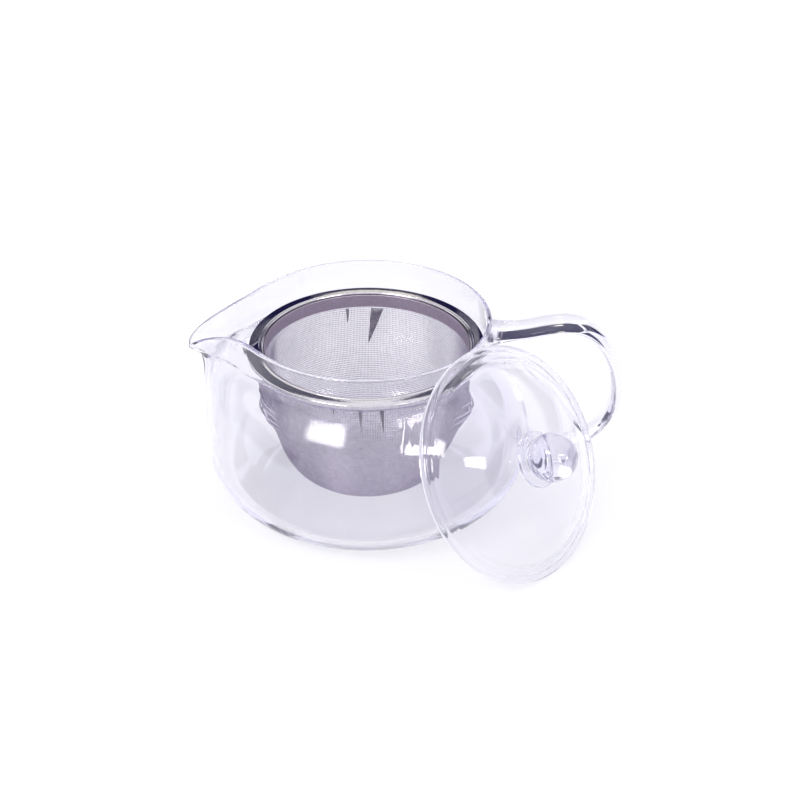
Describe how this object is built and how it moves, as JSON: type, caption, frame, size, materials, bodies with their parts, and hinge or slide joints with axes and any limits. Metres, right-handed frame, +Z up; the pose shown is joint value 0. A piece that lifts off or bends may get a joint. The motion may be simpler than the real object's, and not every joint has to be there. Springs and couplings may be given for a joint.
{
  "type": "glass teapot with strainer and lid",
  "caption": "Squat clear glass teapot with a pulled spout, a back loop handle, a lift-out steel mesh strainer and a domed glass lid leaning on its rim.",
  "frame": {"origin": "middle of the pot's flat base, on the surface it stands on", "axes": "+Z up, -X along the spout, +X along the handle, the lid leans on the rim towards +X and -Y"},
  "size_m": [0.1527, 0.1329, 0.0705],
  "materials": {
    "pot_glass": "clear borosilicate glass, fire polished",
    "handle_glass": "clear solid glass rod, fire polished",
    "polished_steel": "mirror polished stainless steel",
    "satin_steel": "matte stainless steel",
    "woven_mesh": "fine woven stainless wire mesh",
    "lid_glass": "clear borosilicate glass, fire polished",
    "knob_glass": "clear solid glass ball"
  },
  "bodies": {
    "pot": {"pot_body": "pot_glass", "pot_handle": "handle_glass"},
    "strainer": {"strainer_flange": "polished_steel", "clamp_band": "satin_steel", "strainer_mesh": "woven_mesh"},
    "lid": {"lid_dish": "lid_glass", "lid_knob": "knob_glass"}
  },
  "joints": [
    {"name": "strainer_lift", "type": "slide", "parent": "pot", "child": "strainer", "axis": [0, 0, 1], "range_m": [0, 0.08]},
    {"name": "lid_lift", "type": "slide", "parent": "pot", "child": "lid", "axis": [0, 0, 1], "range_m": [0, 0.1]}
  ]
}
